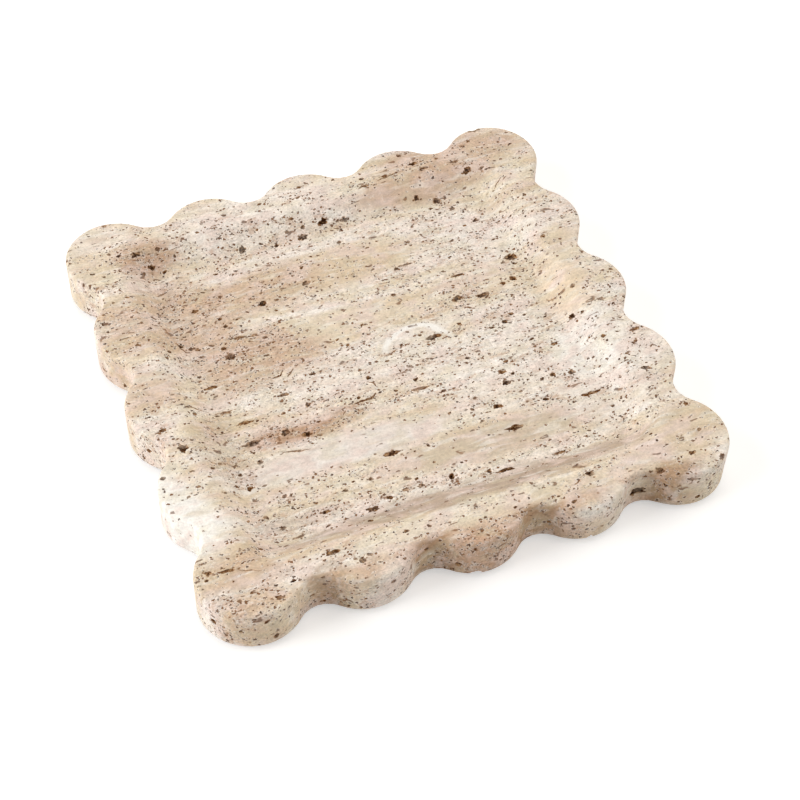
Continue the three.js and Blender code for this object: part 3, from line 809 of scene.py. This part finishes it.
    height = reckon(tree, "SUBTRACT", fine, pinholes)
    bump = put(tree, "ShaderNodeBump", {"Height": height, "Strength": 0.8, "Distance": 0.4 * MM}).outputs[0]
    roughness = spread(tree, mottle, 0.3, 0.7, 0.55, 0.75)
    tree.links.new(colour, shader.inputs["Base Color"])
    tree.links.new(reckon(tree, "MAXIMUM", roughness, sunk), shader.inputs["Roughness"])
    tree.links.new(bump, shader.inputs["Normal"])
    shader.inputs["Specular IOR Level"].default_value = 0.3
    return material


stone = stone_material()
slab = bpy.data.objects.new("slab", slab_mesh())
bpy.context.scene.collection.objects.link(slab)
smooth_slab = slab.data.copy()
slab.data.materials.append(stone)
# The beds group also lays the painted shade and painted light among the patches.
beds = bed_and_painted_light_tree()
pores = pore_tree()
small_pore_seeds = (11, 23)
sharp_angle = math.radians(25)
per_square_cm = 1e4
medium_pores = {
    "Spacing": 4.4 * MM, "Most Per Area": 2.6 * per_square_cm, "Least Half Length": 0.75 * MM,
    "Greatest Half Length": 1.6 * MM, "Sides": 7, "Rings": 4, "Seed": 3, "Stone": stone,
}
small_pores = {
    "Spacing": 1.5 * MM, "Most Per Area": 7.3 * per_square_cm, "Least Half Length": 0.42 * MM,
    "Greatest Half Length": 0.9 * MM, "Sides": 4, "Rings": 2, "Stone": stone,
}
slab.data = grown(slab, beds, {})
groups = [*cavity_lumps(slab), parting_lumps(slab), grown(slab, pores, medium_pores)]
for seed in small_pore_seeds:
    groups.append(grown(slab, pores, {**small_pores, "Seed": seed}))
for lumps in groups:
    cut_away(slab, lumps)
slab.data = grown(slab, beds, {})
mark_depths(slab.data, smooth_slab)
slab.data.shade_smooth()
slab.data.set_sharp_from_angle(angle=sharp_angle)
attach(slab, "root")
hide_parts("travertine_slab")

# Adhesive
# A thin round of milky adhesive film under each corner lobe, pressed between the stone and the foot so
# that its edge bulges slightly.

def turned_mesh(name, axis, profile, sides):
    """A closed round body through a profile of (radius, height), given from the middle of its underside."""
    mesh = bmesh.new()
    rings = []
    for radius, height in profile:
        ring = []
        for side in range(sides):
            angle = 2 * math.pi * side / sides
            ring.append(Vector((axis.x + radius * math.cos(angle), axis.y + radius * math.sin(angle))))
        rings.append((ring, height))
    bridge(mesh, rings)
    bmesh.ops.remove_doubles(mesh, verts=mesh.verts, dist=0.001 * MM)
    bmesh.ops.holes_fill(mesh, edges=mesh.edges)
    bmesh.ops.recalc_face_normals(mesh, faces=mesh.faces)
    return finished(mesh, name)


def put_round(name, node, profile, material):
    """A round piece in the place of a node, with its profile given above the node's underside."""
    sides_of_round = 64
    sharp_angle_of_round = math.radians(40)
    low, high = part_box(node)
    raised = [(radius, low.z + height) for radius, height in profile]
    piece = bpy.data.objects.new(name, turned_mesh(name, (low + high) / 2, raised, sides_of_round))
    piece.data.materials.append(material)
    piece.data.shade_smooth()
    piece.data.set_sharp_from_angle(angle=sharp_angle_of_round)
    bpy.context.scene.collection.objects.link(piece)
    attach(piece, "root")
    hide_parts(node)


def dusty_grain():
    """Faint dusty clouds and a fine grain, as a group for the materials of the soft pieces."""
    group = bpy.data.node_groups.new("dusty_grain", "ShaderNodeTree")
    taken = {
        "Colour": "NodeSocketColor",
        "Dusty Colour": "NodeSocketColor",
        "Least Roughness": "NodeSocketFloat",
        "Greatest Roughness": "NodeSocketFloat",
        "Grain Length": "NodeSocketFloat",
    }
    for name, kind in taken.items():
        group.interface.new_socket(name, in_out="INPUT", socket_type=kind)
    for name, kind in {"Colour": "Color", "Roughness": "Float", "Normal": "Vector"}.items():
        group.interface.new_socket(name, in_out="OUTPUT", socket_type=f"NodeSocket{kind}")
    given = put(group, "NodeGroupInput").outputs
    place = stretch(group, put(group, "ShaderNodeTexCoord").outputs["Object"], 1 / MM)
    cloud = grain(group, place, lengths=(3, 3, 3), detail=3)
    finely = stretch(group, place, reckon(group, "DIVIDE", 1.0, given["Grain Length"]))
    fine = grain(group, finely, lengths=(1, 1, 1))
    put(group, "NodeGroupOutput", {
        "Colour": mix_colours(group, spread(group, cloud, 0.4, 0.7), given["Colour"], given["Dusty Colour"]),
        "Roughness": spread(group, cloud, 0.3, 0.7, given["Least Roughness"], given["Greatest Roughness"]),
        "Normal": put(group, "ShaderNodeBump", {
            "Height": fine, "Strength": 0.3, "Distance": 0.05 * MM,
        }).outputs[0],
    })
    return group


def soft_material(name, finish):
    """A plain soft plastic, with its own values for the dusty grain."""
    material = bpy.data.materials.new(name)
    material.use_nodes = True
    tree = material.node_tree
    shader = tree.nodes["Principled BSDF"]
    laid = put(tree, "ShaderNodeGroup", finish, node_tree=dusty).outputs
    tree.links.new(laid["Colour"], shader.inputs["Base Color"])
    tree.links.new(laid["Roughness"], shader.inputs["Roughness"])
    tree.links.new(laid["Normal"], shader.inputs["Normal"])
    return material


corners = ["front_left", "front_right", "back_left", "back_right"]
film_radius = 6.5 * MM
film_thickness = 0.25 * MM
film_bulge = 0.06 * MM
film_profile = [
    (film_radius - film_bulge, 0),
    (film_radius, film_thickness / 3),
    (film_radius, film_thickness * 2 / 3),
    (film_radius - film_bulge, film_thickness),
]
dusty = dusty_grain()
film = soft_material("adhesive_film", {
    "Colour": paint(236, 234, 228), "Dusty Colour": paint(222, 218, 208), "Grain Length": 0.5,
    "Least Roughness": 0.4, "Greatest Roughness": 0.55,
})
for corner in corners:
    put_round(f"adhesive_film_{corner}", f"adhesive_{corner}", film_profile, film)

# Feet
# A low round foot of moulded grey-white rubber under each film. Its lower edge is rounded, its upper edge
# is slightly eased, and a small dimple in its sole shows where the mould was filled.

foot_radius = 7 * MM
foot_height = 2 * MM
foot_edge_rounding = 0.5 * MM
foot_top_easing = 0.2 * MM
dimple_radius = 1.2 * MM
dimple_floor_radius = dimple_radius * 0.7
dimple_depth = 0.2 * MM
rounding_steps = 6
foot_profile = [(dimple_floor_radius, dimple_depth), (dimple_radius, 0)]
for step in range(rounding_steps + 1):
    angle = math.pi / 2 * step / rounding_steps
    outward = foot_radius - foot_edge_rounding * (1 - math.sin(angle))
    foot_profile.append((outward, foot_edge_rounding * (1 - math.cos(angle))))
foot_profile.append((foot_radius, foot_height - foot_top_easing))
foot_profile.append((foot_radius - foot_top_easing, foot_height))
rubber = soft_material("foot_rubber", {
    "Colour": paint(217, 214, 207), "Dusty Colour": paint(200, 196, 186), "Grain Length": 0.35,
    "Least Roughness": 0.5, "Greatest Roughness": 0.7,
})
for corner in corners:
    put_round(f"foot_pad_{corner}", f"foot_{corner}", foot_profile, rubber)

# Floor and light
# A plain white floor under soft studio light: two broad lamps on the left, one of them low, and pale
# surroundings that are darker on the left.

stage_half = 3.0
floor_grey = (0.75, 0.75, 0.75, 1)
floor_glow = 0.45
floor_mesh = bpy.data.meshes.new("floor")
floor_corners = [(x * stage_half, y * stage_half, 0) for x, y in ((-1, -1), (1, -1), (1, 1), (-1, 1))]
floor_mesh.from_pydata(floor_corners, [], [(0, 1, 2, 3)])
floor = bpy.data.objects.new("floor", floor_mesh)
bpy.context.scene.collection.objects.link(floor)
sweep = bpy.data.materials.new("white_floor")
sweep.use_nodes = True
sweep_tree = sweep.node_tree
path = put(sweep_tree, "ShaderNodeLightPath").outputs
seen = reckon(sweep_tree, "MAXIMUM", path["Is Camera Ray"], path["Is Glossy Ray"])
seen = reckon(sweep_tree, "MAXIMUM", seen, path["Is Transmission Ray"])
glow = put(sweep_tree, "ShaderNodeEmission", {"Strength": reckon(sweep_tree, "MULTIPLY", seen, floor_glow)})
paper = put(sweep_tree, "ShaderNodeBsdfDiffuse", {"Color": floor_grey})
both = put(sweep_tree, "ShaderNodeAddShader", {0: glow.outputs[0], 1: paper.outputs[0]})
sweep_tree.links.new(both.outputs[0], sweep_tree.nodes["Material Output"].inputs["Surface"])
floor_mesh.materials.append(sweep)

world = bpy.data.worlds.new("studio")
bpy.context.scene.world = world
world.use_nodes = True
world_tree = world.node_tree
sky = world_tree.nodes["Background"]
sky.inputs["Color"].default_value = (1, 0.97, 0.92, 1)
dark_side = Vector((-0.95, -0.3, 0.1))
brightest_sky, dimmest_sky = 1.2, 0.14
direction = put(world_tree, "ShaderNodeTexCoord").outputs["Generated"]
turned_away = put(world_tree, "ShaderNodeVectorMath", {0: direction, 1: dark_side}, operation="DOT_PRODUCT")
sky_level = spread(world_tree, turned_away.outputs["Value"], -0.6, 0.85, brightest_sky, dimmest_sky)
world_tree.links.new(sky_level, sky.inputs["Strength"])


def put_lamp(name, watts, size, place):
    """A square lamp that faces the tray."""
    light = bpy.data.lights.new(name, "AREA")
    light.energy = watts
    light.size = size
    lamp = bpy.data.objects.new(name, light)
    lamp.location = place
    lamp.rotation_mode = "QUATERNION"
    lamp.rotation_quaternion = lamp.location.to_track_quat("Z", "Y")
    bpy.context.scene.collection.objects.link(lamp)


put_lamp("key", watts=28.5, size=1.5, place=(-1.94, 0.24, 1.41))
put_lamp("side", watts=20, size=1, place=(-2.2, 0.0, 0.43))

# Camera
# It stands in front of the tray and to the left, looking down on it, with a slight roll.

camera_azimuth = -0.4068
camera_elevation = 0.8546
camera_roll = 0.0239
camera_distance = 710 * MM
camera_target = Vector((-2.53 * MM, -24.74 * MM, (slab_low.z + slab_high.z) / 2))
back = Vector((
    math.sin(camera_azimuth) * math.cos(camera_elevation),
    -math.cos(camera_azimuth) * math.cos(camera_elevation),
    math.sin(camera_elevation),
))
level = Vector((math.cos(camera_azimuth), math.sin(camera_azimuth), 0))
right = Matrix.Rotation(camera_roll, 3, back) @ level
camera = bpy.data.cameras.new("camera")
camera.sensor_width = 36
camera.lens = 77.56
camera_object = bpy.data.objects.new("camera", camera)
turned = Matrix((right, back.cross(right), back)).transposed().to_4x4()
camera_object.matrix_world = Matrix.Translation(camera_target + back * camera_distance) @ turned
bpy.context.scene.collection.objects.link(camera_object)
bpy.context.scene.camera = camera_object
bpy.context.scene.view_settings.view_transform = "Standard"
